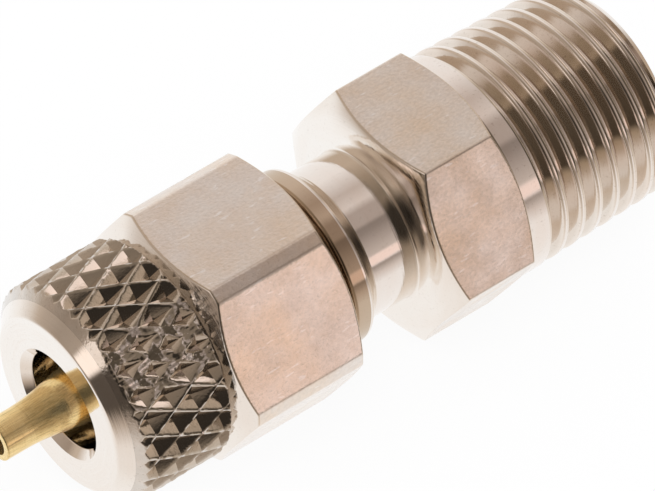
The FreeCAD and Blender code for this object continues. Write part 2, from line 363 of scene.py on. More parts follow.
def knurl_radius(x, angles, settings):
    """Radius of the knurled band and its relief, 0 on the ridges and 1 in the pits.

    The two sets of ridges lie where u + v and u - v are half a whole number, with u the angle in
    pits and v the length in pits. The depth is slope (distance to the nearest ridge - half a
    ridge). Where the band was squeezed, the ridges are flattened to an uneven, torn depth, from
    sums and products of sines of x and the angle, and small nicks lie on all ridges."""
    depth = settings.knurl_depth / MILLIMETRE
    ridge = settings.knurl_ridge / MILLIMETRE
    step = 2 * math.pi * KNURL_RADIUS / KNURL_COUNT
    u = (angles - KNURL_TURN) * KNURL_COUNT / 360
    v = (x - KNURL_FIRST_PIT) / (2 * KNURL_HALF_PITCH)
    unit = math.hypot(1 / step, 1 / (2 * KNURL_HALF_PITCH))
    nearest = np.minimum(np.abs(np.mod(u + v, 1) - 0.5), np.abs(np.mod(u - v, 1) - 0.5)) / unit
    slope = depth / (0.5 / unit - ridge / 2)
    fall = slope * np.maximum(nearest - ridge / 2, 0.0)
    grown = ramp(x - NUT_BEVEL_END, *BEVEL_PIT_GROWS)
    fall = fall * (BEVEL_PIT_SHARE + (1 - BEVEL_PIT_SHARE) * grown)
    around = np.mod(angles, 360)
    squeezed = ramp(around, *SQUEEZE_START) * (1 - ramp(around, *SQUEEZE_END))
    uneven = (1 + 0.22 * np.sin(2.3 * x + 0.31 * around) + 0.16 * np.sin(4.9 * x - 0.17 * around)
              + 0.14 * np.sin(0.52 * around + 1.7 * x + 1))
    flat = settings.knurl_squeeze / MILLIMETRE * squeezed * uneven
    torn = np.sin(17 * x + 1.6 * around) * np.sin(13 * x - 1.1 * around + 2 * np.sin(3 * x))
    flat = flat + TORN_DEPTH * squeezed * torn
    nicks = 1 + np.sin(7.1 * x + 0.9 * around) * np.sin(5.3 * x - 1.3 * around)
    near_ridge = fall < 0.1
    radius = KNURL_RADIUS - np.maximum(fall, flat + NICK_DEPTH * nicks * near_ridge)
    return radius, np.clip(fall / depth, 0.0, 1.0)


def plain(x, radius, finish, relief=0.0):
    """A band without ridges."""
    return (x, radius, finish, relief, False)


def turned_band(corners, angles, finish, **options):
    """A band turned to a profile of corners, as in eased_rings."""
    return plain(*eased_rings(corners, angles, **options), finish)


def hexagon_bands(start, end, hexagon, edge, angles, turned, flats):
    """A hexagon's bands: a turned chamfer, the flats and the other chamfer.

    start and end are (x, radius) where the chamfers leave the faces. The bands meet in the middle
    of the eased corners between chamfers and flats."""
    left = start[0] + (hexagon - start[1]) * CHAMFER_SLOPE
    right = end[0] - (hexagon - end[1]) * CHAMFER_SLOPE
    x, radius = eased_rings([(*start, 0), (left, hexagon, edge), (right, hexagon, edge),
                             (*end, 0)], angles)
    middle = 2 + EASE_STEPS // 2
    cuts = (0, middle, len(x) - 1 - middle, len(x) - 1)
    return [plain(x[first:last + 1], radius[first:last + 1], finish)
            for first, last, finish in zip(cuts, cuts[1:], (turned, flats, turned))]


def body_bands(settings, angles):
    """Bands of the body: nose, shank thread, collar and neck, hexagon, taper thread, bore."""
    turned, flats, thread, film = 0, 1, 2, 3
    depth = settings.thread_depth / MILLIMETRE
    hexagon = hexagon_radius(angles)
    plain_radius = taper_radius(PLAIN_STRETCH)
    edge = settings.edge_ease / MILLIMETRE

    shank_phases = mirrored_phases(
        [SHANK_CREST_HALF, 0.23, SHANK_CREST_HALF + (SHANK_CREST - SHANK_ROOT) / SHANK_FLANK],
        SHANK_PITCH)
    x = winding_rings(angles, NOSE_FACE, SHANK_END, SHANK_PITCH, 0.0, shank_phases)
    shank = straight_thread(x, angles, SHANK_CREST, SHANK_ROOT, SHANK_CREST_HALF)
    shank = np.minimum(shank, NOSE_RADIUS + (x - NOSE_FACE))
    shank = np.minimum(shank, RUNOUT_RADIUS + RUNOUT_SLOPE * (SHANK_END - x) + 0.06)
    nose = [(NOSE_FACE, NOZZLE_HOLE_RADIUS, 0), (NOSE_FACE, NOSE_RADIUS, 0)]
    bands = [turned_band(nose, angles, turned), plain(x, shank, film)]
    film_end = COLLAR_END - FILM_GAP
    bands.append(turned_band([
        (SHANK_END, shank[-1], 0),
        (SHANK_END, RUNOUT_RADIUS, 0),
        (COLLAR_START, RUNOUT_RADIUS, 0),
        (COLLAR_START, COLLAR_RADIUS, settings.collar_edge / MILLIMETRE),
        (film_end, COLLAR_RADIUS, 0),
    ], angles, film))
    bands.append(turned_band([
        (film_end, COLLAR_RADIUS, 0),
        (COLLAR_END, COLLAR_RADIUS, edge),
        (NECK_START, NECK_RADIUS, edge),
        (BODY_HEX_START, NECK_RADIUS, settings.neck_fillet / MILLIMETRE),
        (BODY_HEX_START, BODY_HEX_FACE_RADIUS, 0),
    ], angles, turned))
    bands += hexagon_bands((BODY_HEX_START, BODY_HEX_FACE_RADIUS), (0.0, plain_radius), hexagon,
                           edge, angles, turned, flats)
    half_mouth = TAPER_ROOT + depth * TAPER_FLANK
    phases = mirrored_phases([TAPER_ROOT, 0.13, 0.24, half_mouth - 0.025, half_mouth,
                              half_mouth + 0.03], TAPER_PITCH)
    chamfer = THREAD_REACH - (taper_radius(THREAD_REACH) - TAPER_END_RADIUS)
    centre = PLAIN_STRETCH - TAPER_PITCH * RUNOUT_TURN / 360
    threads = []
    for start, end in ((WINDING_START, chamfer), (chamfer, THREAD_REACH)):
        x = winding_rings(angles, start, end, TAPER_PITCH, centre, phases)
        radius, relief = taper_thread(x, angles, depth)
        threads.append(plain(x, radius, thread, relief))
    bands.append(turned_band([
        (0.0, plain_radius, 0),
        (WINDING_START, threads[0][1][0], 0),
    ], angles, thread))
    bands += threads
    bands.append(turned_band([
        (THREAD_REACH, radius[-1], 0),
        (THREAD_REACH, FLOW_BORE_RADIUS + FLOW_BORE_EDGE, 0.03),
        (THREAD_REACH - FLOW_BORE_EDGE, FLOW_BORE_RADIUS, 0.03),
        (BORE_END, FLOW_BORE_RADIUS, 0),
        (NOZZLE_HOLE_END, NOZZLE_HOLE_RADIUS, 0),
        (NOSE_FACE, NOZZLE_HOLE_RADIUS, 0),
    ], angles, turned))
    return bands


def nut_bands(settings, angles):
    """Bands of the union nut: face, bevel, knurl, hexagon, inner thread, seat and tube hole."""
    turned, flats, knurled = 0, 1, 2
    edge = settings.edge_ease / MILLIMETRE
    hexagon = smooth_min(hexagon_radius(angles), NUT_CORNER_RADIUS, BLEND)
    bevel_slope = (KNURL_RADIUS - NUT_FACE_RADIUS) / (NUT_BEVEL_END - NUT_FACE)
    knurl_start = NUT_FACE + 0.48
    start_radius = NUT_FACE_RADIUS + bevel_slope * (knurl_start - NUT_FACE)
    bands = [turned_band([
        (NUT_FACE, TUBE_HOLE_RADIUS + COUNTERSINK, 0),
        (NUT_FACE, NUT_FACE_RADIUS, settings.face_ease / MILLIMETRE),
        (knurl_start, start_radius, 0),
    ], angles, turned, steps=5)]

    row = 2 * KNURL_HALF_PITCH / KNURL_ROWS
    first_row = math.ceil((NUT_BEVEL_END + 0.05 - KNURL_FIRST_PIT) / row)
    last_row = math.floor((KNURL_BEVEL_START - KNURL_FIRST_PIT) / row)
    even = KNURL_FIRST_PIT + np.arange(first_row, last_row + 1) * row
    fine = np.arange(knurl_start, even[0] - row / 4, row / 2)
    stations = np.concatenate([fine, even, np.linspace(KNURL_BEVEL_START, KNURL_END, 6)])
    x = np.outer(stations, np.ones_like(angles))
    radius, relief = knurl_radius(x, angles, settings)
    bevel = NUT_FACE_RADIUS + bevel_slope * (x - NUT_FACE)
    back_slope = (KNURL_RADIUS - KNURL_END_RADIUS) / (KNURL_END - KNURL_BEVEL_START)
    back = KNURL_END_RADIUS + back_slope * (KNURL_END - x)
    radius = smooth_min(smooth_min(radius, bevel, BLEND), back, BLEND)
    radius[0] = start_radius
    bands.append((x, radius, knurled, relief, True))
    bands.append(turned_band([
        (KNURL_END, radius[-1], 0),
        (KNURL_END, KNURL_END_RADIUS, 0),
    ], angles, turned))
    bands += hexagon_bands((KNURL_END, KNURL_END_RADIUS), (NUT_END, NUT_END_RADIUS), hexagon,
                           edge, angles, turned, flats)

    bands.append(turned_band([
        (NUT_END, NUT_END_RADIUS, 0),
        (NUT_END, NUT_ENTRY_RADIUS, 0),
    ], angles, turned))
    thread_end = SEAT_END + 0.3
    phases = mirrored_phases(
        [NUT_GROOVE_HALF, 0.22, NUT_GROOVE_HALF + (NUT_GROOVE - NUT_CREST) / SHANK_FLANK],
        SHANK_PITCH)
    x = winding_rings(angles, thread_end, NUT_END, SHANK_PITCH, 0.0, phases)[::-1]
    radius = straight_thread(x, angles, NUT_GROOVE, NUT_CREST, NUT_GROOVE_HALF)
    radius = np.maximum(radius, NUT_ENTRY_RADIUS - (NUT_END - x))
    bands.append(plain(x, radius, turned))
    bands.append(turned_band([
        (thread_end, radius[-1], 0),
        (thread_end, NUT_BORE_RADIUS, 0),
        (SEAT_END, NUT_BORE_RADIUS, 0),
        (SEAT, TUBE_HOLE_RADIUS, 0.06),
        (NUT_FACE + COUNTERSINK, TUBE_HOLE_RADIUS, 0.04),
        (NUT_FACE, TUBE_HOLE_RADIUS + COUNTERSINK, 0),
    ], angles, turned))
    return bands


def nozzle_bands(settings, angles):
    """Bands of the nozzle: lip, tip, blend, cone, collar, shank and bore.

    The blend is an arc: x = corner + R (sin t - tan(cone / 2)), radius = tip + R (1 - cos t)."""
    corner = NOZZLE_COLLAR - (NOZZLE_BASE_RADIUS - NOZZLE_TIP_RADIUS) / math.tan(NOZZLE_CONE)
    turn = np.linspace(0, NOZZLE_CONE, 9)
    blend_x = corner + NOZZLE_BLEND * (np.sin(turn) - math.tan(NOZZLE_CONE / 2))
    blend_radius = NOZZLE_TIP_RADIUS + NOZZLE_BLEND * (1 - np.cos(turn))
    lip = settings.lip_ease / MILLIMETRE
    corners = [
        (NOZZLE_TIP, NOZZLE_BORE_RADIUS, 0),
        (NOZZLE_TIP, NOZZLE_TIP_RADIUS, lip),
        *((x, radius, 0) for x, radius in zip(blend_x, blend_radius)),
        (NOZZLE_COLLAR, NOZZLE_BASE_RADIUS, 0.06),
        (NOZZLE_COLLAR, NOZZLE_COLLAR_RADIUS, 0.05),
        (NOSE_FACE, NOZZLE_COLLAR_RADIUS, 0),
        (NOSE_FACE, NOZZLE_SHANK_RADIUS, 0),
        (NOZZLE_SHANK_END, NOZZLE_SHANK_RADIUS, 0),
        (NOZZLE_SHANK_END, NOZZLE_BORE_RADIUS, 0),
        (NOZZLE_TIP + 2 * lip, NOZZLE_BORE_RADIUS, 0),
        (NOZZLE_TIP, NOZZLE_BORE_RADIUS, 0),
    ]
    return [turned_band(corners, angles, 0, support=0.02)]


def add_node(tree, kind, values=None, **options):
    """A node with its options set and its inputs set or linked."""
    made = tree.nodes.new(kind)
    for name, value in options.items():
        setattr(made, name, value)
    for name, value in (values or {}).items():
        socket = made.inputs[name]
        if isinstance(value, bpy.types.NodeSocket):
            tree.links.new(value, socket)
        else:
            socket.default_value = value
    return made


def maths(tree, operation, first, second=0.0):
    """A Math node's result."""
    return add_node(tree, "ShaderNodeMath", {0: first, 1: second}, operation=operation).outputs[0]


def graded(tree, value, low, high, bottom=0.0, top=1.0):
    """value moved from low..high to bottom..top, and kept there."""
    made = add_node(tree, "ShaderNodeMapRange", {
        "Value": value, "From Min": low, "From Max": high, "To Min": bottom, "To Max": top})
    return made.outputs[0]


def mixed(tree, share, first, second, blend="MIX"):
    """Two colours mixed by share."""
    made = add_node(tree, "ShaderNodeMix", {0: share, 6: first, 7: second}, data_type="RGBA",
                    blend_type=blend)
    return made.outputs[2]


def laid_over(tree, colour, top, value, amount):
    """A colour with another laid over it, by a value times an amount."""
    return mixed(tree, maths(tree, "MULTIPLY", value, amount), colour, top)


def dotted(tree, first, second):
    """The dot product of two directions."""
    made = add_node(tree, "ShaderNodeVectorMath", {0: first, 1: second}, operation="DOT_PRODUCT")
    return made.outputs["Value"]


def scaled(tree, vector, factor):
    """A vector times a number."""
    return add_node(tree, "ShaderNodeVectorMath", {0: vector, 3: factor},
                    operation="SCALE").outputs[0]


def relief_value(tree):
    """The mesh's relief, 0 where it is high and 1 where it is low."""
    return add_node(tree, "ShaderNodeAttribute", attribute_name="relief").outputs["Fac"]


def stretched_noise(tree, vector, stretch, detail=2.0, rough=0.5, offset=0.0):
    """Noise on the vector times stretch, moved by offset."""
    moved = add_node(tree, "ShaderNodeVectorMath", {0: vector, 1: stretch, 2: (offset,) * 3},
                     operation="MULTIPLY_ADD")
    made = add_node(tree, "ShaderNodeTexNoise", {
        "Vector": moved.outputs[0], "Scale": 1.0, "Detail": detail, "Roughness": rough})
    return made.outputs[0]


def new_group(name, outputs, **numbers):
    """A node group from a vector and numbers to numbers, and its end nodes' sockets."""
    tree = bpy.data.node_groups.new(name, "ShaderNodeTree")
    tree.interface.new_socket(name="Vector", in_out="INPUT", socket_type="NodeSocketVector")
    for label, default in numbers.items():
        socket = tree.interface.new_socket(name=label, in_out="INPUT",
                                           socket_type="NodeSocketFloat")
        socket.default_value = default
    for label in outputs:
        tree.interface.new_socket(name=label, in_out="OUTPUT", socket_type="NodeSocketFloat")
    return tree, tree.nodes.new("NodeGroupInput").outputs, tree.nodes.new("NodeGroupOutput").inputs


def ring_marks_group():
    """Marks of a turning tool, as rings about X.

    Noise on (x + 0.8 radius, y, z), close along the first and slow around. Coordinates come in
    millimetres. Height drives bump, and Tone a slight change of colour."""
    tree, given, result = new_group("Turned rings", ("Height", "Tone"), Rings=18.0)
    parts = add_node(tree, "ShaderNodeSeparateXYZ", {0: given["Vector"]}).outputs
    squares = maths(tree, "ADD", maths(tree, "MULTIPLY", parts[1], parts[1]),
                    maths(tree, "MULTIPLY", parts[2], parts[2]))
    radius = maths(tree, "SQRT", squares)
    along = maths(tree, "ADD", parts[0], maths(tree, "MULTIPLY", radius, 0.8))
    close = add_node(tree, "ShaderNodeCombineXYZ", {
        0: maths(tree, "MULTIPLY", along, given["Rings"]),
        1: maths(tree, "MULTIPLY", parts[1], 0.25), 2: maths(tree, "MULTIPLY", parts[2], 0.25)})
    fine = stretched_noise(tree, close.outputs[0], (1, 1, 1), 3.0, 0.65)
    broad = stretched_noise(tree, close.outputs[0], (0.16, 1.6, 1.6), 2.0, 0.5, 7.3)
    height = maths(tree, "ADD", fine, maths(tree, "MULTIPLY", broad, 0.8))
    tree.links.new(height, result["Height"])
    tree.links.new(graded(tree, broad, 0.3, 0.7), result["Tone"])
    return tree


def plating_group():
    """Uneven plating: soft blotches of tone, and small specks where it is pitted or worn."""
    tree, given, result = new_group("Plating", ("Tone", "Speck", "Height"), Blotch=0.8)
    sized = scaled(tree, given["Vector"], given["Blotch"])
    broad = stretched_noise(tree, sized, (1, 1, 1), 4.0, 0.62)
    tree.links.new(graded(tree, broad, 0.36, 0.66), result["Tone"])
    dots = stretched_noise(tree, given["Vector"], (5.5, 7.5, 7.5), 3.0, 0.6, 3.1)
    tree.links.new(graded(tree, dots, 0.60, 0.72), result["Speck"])
    pitted = stretched_noise(tree, given["Vector"], (6, 8, 8), 2.0, 0.6, 11.0)
    tree.links.new(pitted, result["Height"])
    return tree


def drawn_grain_group():
    """Grain of drawn bar: noise drawn out along X, and a few nicks across it."""
    tree, given, result = new_group("Drawn grain", ("Height", "Nick"))
    grain = stretched_noise(tree, given["Vector"], (1.1, 16, 16), 3.0, 0.6)
    tree.links.new(grain, result["Height"])
    strokes = stretched_noise(tree, given["Vector"], (1.7, 7.0, 7.0), 1.0, 0.4, 21.0)
    short = stretched_noise(tree, given["Vector"], (0.9, 1.1, 1.1), 1.0, 0.5, 5.0)
    drawn = graded(tree, strokes, 0.64, 0.69)
    tree.links.new(maths(tree, "MULTIPLY", drawn, graded(tree, short, 0.50, 0.58)), result["Nick"])
    return tree


GROUP_MAKERS = {
    "Turned rings": ring_marks_group,
    "Plating": plating_group,
    "Drawn grain": drawn_grain_group,
}


def place_group(tree, name, vector, **numbers):
    """A node group placed in a tree, built first if it isn't there."""
    group = bpy.data.node_groups.get(name) or GROUP_MAKERS[name]()
    values = {"Vector": vector, **numbers}
    return add_node(tree, "ShaderNodeGroup", values, node_tree=group).outputs


def shade(colour, factor=1.0):
    """A colour made darker or lighter, with its alpha."""
    return tuple(channel * factor for channel in colour[:3]) + (1.0,)


def start_material(name):
    """A material with its shader, and Object coordinates in millimetres."""
    material = bpy.data.materials.new(name)
    material.use_nodes = True
    tree = material.node_tree
    shader = tree.nodes["Principled BSDF"]
    shader.inputs["Metallic"].default_value = 1.0
    place = tree.nodes.new("ShaderNodeTexCoord").outputs["Object"]
    return material, tree, shader, scaled(tree, place, 1 / MILLIMETRE)


def finish_surface(tree, shader, colour, roughness, height, depth):
    """Feed the shader, with depth as the bump's height in millimetres."""
    tree.links.new(colour, shader.inputs["Base Color"])
    tree.links.new(roughness, shader.inputs["Roughness"])
    bump = add_node(tree, "ShaderNodeBump", {"Distance": depth * MILLIMETRE, "Height": height})
    tree.links.new(bump.outputs[0], shader.inputs["Normal"])


def turned_nickel(finish, name="nickel_turned", tint=(1.0, 1.0, 1.0)):
    """Nickel over turned brass: fine rings, a soft change of tone and few specks."""
    material, tree, shader, vector = start_material(name)
    rings = place_group(tree, "Turned rings", vector, Rings=9.0)
    plating = place_group(tree, "Plating", vector, Blotch=0.9)
    colour = laid_over(tree, shade(finish.nickel), shade(finish.warm_nickel), rings["Tone"], 0.5)
    colour = laid_over(tree, colour, shade(finish.warm_nickel, 0.6), plating["Speck"], 0.2)
    colour = mixed(tree, 1.0, colour, shade(tint), "MULTIPLY")
    roughness = graded(tree, plating["Tone"], 0, 1, 0.05, 0.10)
    finish_surface(tree, shader, colour, roughness, rings["Height"], 0.003)
    return material


def shared_nickel(finish):
    """The turned nickel that the body and the nut share, made by whichever comes first."""
    return bpy.data.materials.get("nickel_turned") or turned_nickel(finish)


def flat_nickel(finish, name="nickel_flats", rough=0.16, grainy=0.12):
    """Nickel over drawn bar: lengthwise grain, fine dark pits, peach blotches and pale nicks."""
    material, tree, shader, vector = start_material(name)
    grain = place_group(tree, "Drawn grain", vector)
    plating = place_group(tree, "Plating", vector, Blotch=0.7)
    patches = place_group(tree, "Plating", vector, Blotch=0.32)
    colour = mixed(tree, plating["Tone"], shade(finish.nickel, 0.97),
                   shade(finish.warm_nickel, 0.99))
    colour = laid_over(tree, colour, shade(finish.peach_nickel, 0.98), patches["Tone"], 0.62)
    pits = graded(tree, plating["Height"], 0.38, 0.62, 0, grainy)
    colour = mixed(tree, pits, colour, shade(finish.warm_nickel, 0.55))
    colour = laid_over(tree, colour, (1, 1, 1, 1), grain["Nick"], 0.6)
    roughness = graded(tree, plating["Tone"], 0, 1, rough - 0.03, rough + 0.03)
    height = maths(tree, "ADD", maths(tree, "MULTIPLY", grain["Height"], 0.3), plating["Height"])
    finish_surface(tree, shader, colour, roughness, height, 0.007)
    return material


def thread_nickel(finish):
    """Nickel on the cut thread: tool lines, and painted shade making the grooves browner."""
    material, tree, shader, vector = start_material("nickel_thread")
    rings = place_group(tree, "Turned rings", vector, Rings=8.0)
    plating = place_group(tree, "Plating", vector, Blotch=1.2)
    relief = relief_value(tree)
    # Painted shade: the grooves get more of the brown the deeper they are
    low = graded(tree, relief, 0.03, 0.3)
    colour = mixed(tree, rings["Tone"], shade(finish.nickel), shade(finish.warm_nickel))
    colour = laid_over(tree, colour, shade(finish.shade_and_patch_brown), low, 0.25)
    colour = laid_over(tree, colour, shade(finish.shade_and_patch_brown, 0.7), plating["Speck"], 0.3)
    roughness = graded(tree, relief, 0, 0.3, 0.10, 0.07)
    finish_surface(tree, shader, colour, roughness, rings["Height"], 0.002)
    return material


def knurled_nickel(finish):
    """Nickel on the knurl: painted shade dimming the ridges' highlights, warmer pits, brown
    patches and specks.
    """
    material, tree, shader, vector = start_material("nickel_knurl")
    plating = place_group(tree, "Plating", vector, Blotch=1.6)
    low = graded(tree, relief_value(tree), 0.05, 0.9)
    # Painted shade: the ridges get a darker nickel, to dim their highlights
    colour = mixed(tree, low, shade(finish.nickel, 0.8), shade(finish.warm_nickel, 0.98))
    colour = laid_over(tree, colour, shade(finish.shade_and_patch_brown, 1.1), plating["Tone"], 0.15)
    colour = laid_over(tree, colour, shade(finish.shade_and_patch_brown, 0.5), plating["Speck"], 0.3)
    roughness = graded(tree, plating["Tone"], 0, 1, 0.05, 0.11)
    finish_surface(tree, shader, colour, roughness, plating["Height"], 0.004)
    return material


def turned_brass(finish):
    """Bare turned brass: rings, lengthwise streaks and a darker film that is partly dull."""
    material, tree, shader, vector = start_material("brass_turned")
    shader.inputs["Metallic"].default_value = 0.91
    rings = place_group(tree, "Turned rings", vector, Rings=14.0)
    grain = place_group(tree, "Drawn grain", vector)
    plating = place_group(tree, "Plating", vector, Blotch=1.5)
    colour = laid_over(tree, shade(finish.brass), shade(finish.brass_film), plating["Tone"], 0.6)
    streak = graded(tree, grain["Height"], 0.48, 0.62)
    colour = laid_over(tree, colour, shade(finish.brass_film, 0.5), streak, 0.4)
    roughness = graded(tree, grain["Height"], 0.35, 0.65, 0.17, 0.08)
    height = maths(tree, "ADD", rings["Height"], grain["Height"])
    finish_surface(tree, shader, colour, roughness, height, 0.003)
    return material


def dress(made, body, node):
    """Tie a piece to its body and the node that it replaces."""
    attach(made, body)
    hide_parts(node)


# Shared by the settings that are lengths
LENGTH = {"unit": "LENGTH", "precision": 5}


class FittingBodySettings(bpy.types.PropertyGroup):
    """Sizes of the body's detail."""
    thread_depth: FloatProperty(
        name="Thread depth", description="Depth of the taper thread's groove",
        default=0.56 * MILLIMETRE, **LENGTH)
    collar_edge: FloatProperty(
        name="Collar edge", description="Easing of the collar's front edge",
        default=0.12 * MILLIMETRE, **LENGTH)
    neck_fillet: FloatProperty(
        name="Neck fillet", description="Fillet between the neck and the hexagon's face",
        default=0.12 * MILLIMETRE, **LENGTH)
    edge_ease: FloatProperty(
        name="Edge easing", description="Easing of the other turned edges",
        default=0.05 * MILLIMETRE, **LENGTH)


class UnionNutSettings(bpy.types.PropertyGroup):
    """Sizes of the union nut's detail."""
    knurl_depth: FloatProperty(
        name="Knurl depth", description="Depth of the pits of the diamond knurl",
        default=0.46 * MILLIMETRE, **LENGTH)
    knurl_ridge: FloatProperty(
        name="Ridge width", description="Width of the ridges between the pits",
        default=0.03 * MILLIMETRE, **LENGTH)
    knurl_squeeze: FloatProperty(
        name="Squeeze", description="How far the ridges are flattened where the nut was gripped",
        default=0.16 * MILLIMETRE, **LENGTH)
    face_ease: FloatProperty(
        name="Face edge", description="Easing of the edge between face and bevel",
        default=0.10 * MILLIMETRE, **LENGTH)
    edge_ease: FloatProperty(
        name="Edge easing", description="Easing of the other turned edges",
        default=0.05 * MILLIMETRE, **LENGTH)


class NozzleSettings(bpy.types.PropertyGroup):
    """Sizes of the nozzle's detail."""
    lip_ease: FloatProperty(
        name="Lip edge", description="Easing of the tip's outer edge",
        default=0.06 * MILLIMETRE, **LENGTH)


class FinishSettings(bpy.types.PropertyGroup):
    """Colours of the metal."""
    nickel: FloatVectorProperty(
        name="Nickel", description="Colour of the plating", subtype="COLOR",
        default=(0.92, 0.885, 0.845))
    warm_nickel: FloatVectorProperty(
        name="Warm nickel", description="Colour of the plating where it is thin",
        subtype="COLOR", default=(0.90, 0.83, 0.77))
    peach_nickel: FloatVectorProperty(
        name="Peach nickel", description="Colour of the plating's tarnished patches",
        subtype="COLOR", default=(0.93, 0.76, 0.58))
    # This brown is painted shade in the thread's grooves, and the colour of brown patches and
    # specks on the thread and the knurl
    shade_and_patch_brown: FloatVectorProperty(
        name="Groove brown", description="Colour of the film in pits and grooves",
        subtype="COLOR", default=(0.50, 0.40, 0.30))
    collar_film: FloatVectorProperty(
        name="Collar film", description="Tint of the film on the collar and its thread",
        subtype="COLOR", default=(0.64, 0.54, 0.43))
    brass: FloatVectorProperty(
        name="Brass", description="Colour of the bare brass", subtype="COLOR",
        default=(1.0, 0.80, 0.41))
    brass_film: FloatVectorProperty(
        name="Brass film", description="Colour of the brass where it has darkened",
        subtype="COLOR", default=(0.90, 0.66, 0.29))


class StageSettings(bpy.types.PropertyGroup):
    """Camera, light and floor."""
    lens: FloatProperty(
        name="Lens", description="Focal length on a 36 mm sensor", default=522.1,
        unit="CAMERA")
    distance: FloatProperty(
        name="Distance", description="Depth of the union nut's face in front of the camera",
        default=0.375, unit="LENGTH")
    azimuth: FloatProperty(
        name="Azimuth", description="Camera angle round the fitting",
        default=math.radians(-37.83), subtype="ANGLE")
    elevation: FloatProperty(
        name="Elevation", description="Camera angle above the floor",
        default=math.radians(48.02), subtype="ANGLE")
    roll: FloatProperty(
        name="Roll", description="Turn of the camera about its own axis",
        default=math.radians(-0.31), subtype="ANGLE")
    sun: FloatProperty(
        name="Sun", description="Strength of the soft lamp that draws the shadow", default=1.2)
    shadow: FloatProperty(
        name="Shadow", description="How much of the shadow the white floor shows",
        default=0.07, subtype="FACTOR")


# Brightness of the room as the metal mirrors it, at angles in degrees from the room's darker side,
# upwards positive. The front list holds where most faces look, the far one along -X, where the
# bevel looks, the side one beside the camera, where the round and flat sides look, and the back
# one far along +X, where the threads look.
FRONT_TONES = (
    (-160, 0.96), (-140, 0.92), (-110, 0.77), (-66, 0.35), (-52, 0.26), (28, 0.23), (60, 0.37),
    (90, 0.56), (126, 0.57), (146, 0.94), (160, 1.0),
)
FAR_TONES = (
    (-160, 0.94), (-110, 0.85), (-92, 0.5), (-76, 0.1), (-20, 0.07), (10, 0.14), (32, 0.5),
    (104, 0.35), (128, 0.5), (160, 0.96),
)
SIDE_TONES = (
    (-160, 0.97), (-84, 0.89), (-70, 0.67), (-58, 0.32), (-54, 0.88), (-48, 0.9), (-42, 0.57),
    (-9, 0.28), (-2, 0.25), (3, 0.42), (22, 0.42), (33, 0.68), (54, 0.54), (90, 0.86), (160, 0.98),
)
BACK_TONES = (
    (-160, 0.96), (-104, 0.8), (-66, 0.47), (-57, 0.08), (29, 0.12), (37, 0.42), (46, 0.33),
    (68, 0.4), (84, 0.71), (160, 1.0),
)
# The lists in the order that they are laid over each other: tint of the dark parts, and the
# direction's x where the list begins to show and where it is full. The first shows everywhere.
ROOM = (
    (FRONT_TONES, (1.0, 0.78, 0.58), -2.0, -1.9),
    (FAR_TONES, (1.0, 0.78, 0.60), -0.5, -0.64),
    (SIDE_TONES, (1.0, 0.80, 0.69), 0.30, 0.37),
    (BACK_TONES, (1.0, 0.78, 0.56), 0.475, 0.56),
)
# Spots in the room: direction, angle in degrees where each ends and where it is full, share, and
# colour
ROOM_SPOTS = (
    # the dark round the camera, and a pinkish lamp beside it
    ((-0.30, -0.767, 0.568), 38, 17, 0.87, (0, 0, 0)),
    ((0.41, -0.908, 0.086), 8, 3, 1.0, (0.95, 0.74, 0.66)),
    # along -X a dark part, a dim part and a window
    ((-0.98, -0.18, 0.05), 14, 8, 1.0, (0.09, 0.07, 0.055)),
    ((-0.99, 0.10, -0.06), 13, 7, 1.0, (0.30, 0.23, 0.18)),
    ((-0.952, 0.09, 0.283), 11, 6, 1.0, (1.12, 0.97, 0.86)),
    # the room beyond the taper thread, and a lamp in it
    ((1, 0, 0), 38, 26, 1.0, (0.52, 0.41, 0.31)),
    ((0.85, 0.15, 0.505), 15, 7, 1.0, (1.1, 0.92, 0.82)),
)
# Where the middle of the darker side lies, as an angle about X
ROOM_ANGLE = 125.4
# Colour of the light that falls on what doesn't mirror
SOFT_LIGHT = (0.97, 0.97, 1.0, 1)


def tone_ramp(tree, angle, tones, tint):
    """A colour ramp over a turn. A stop's colour is level (1 - (1 - tint) (1 - level^3))."""
    made = tree.nodes.new("ShaderNodeValToRGB")
    stops = made.color_ramp.elements
    stops.remove(stops[1])
    for number, (degrees, level) in enumerate(tones):
        place = (degrees + 180) / 360
        stop = stops.new(place) if number else stops[0]
        stop.position = place
        stop.color = tuple(level * (1 - (1 - part) * (1 - level ** 3)) for part in tint) + (1.0,)
    tree.links.new(graded(tree, angle, -math.pi, math.pi), made.inputs[0])
    return made.outputs[0]


def around_direction(tree, direction, centre, outer, inner):
    """1 within an angle of a direction, 0 outside a wider one. Angles are in degrees."""
    near = dotted(tree, direction, Vector(centre).normalized())
    made = add_node(tree, "ShaderNodeMapRange", {
        "Value": near, "From Min": math.cos(math.radians(outer)),
        "From Max": math.cos(math.radians(inner))}, interpolation_type="SMOOTHSTEP")
    return made.outputs[0]


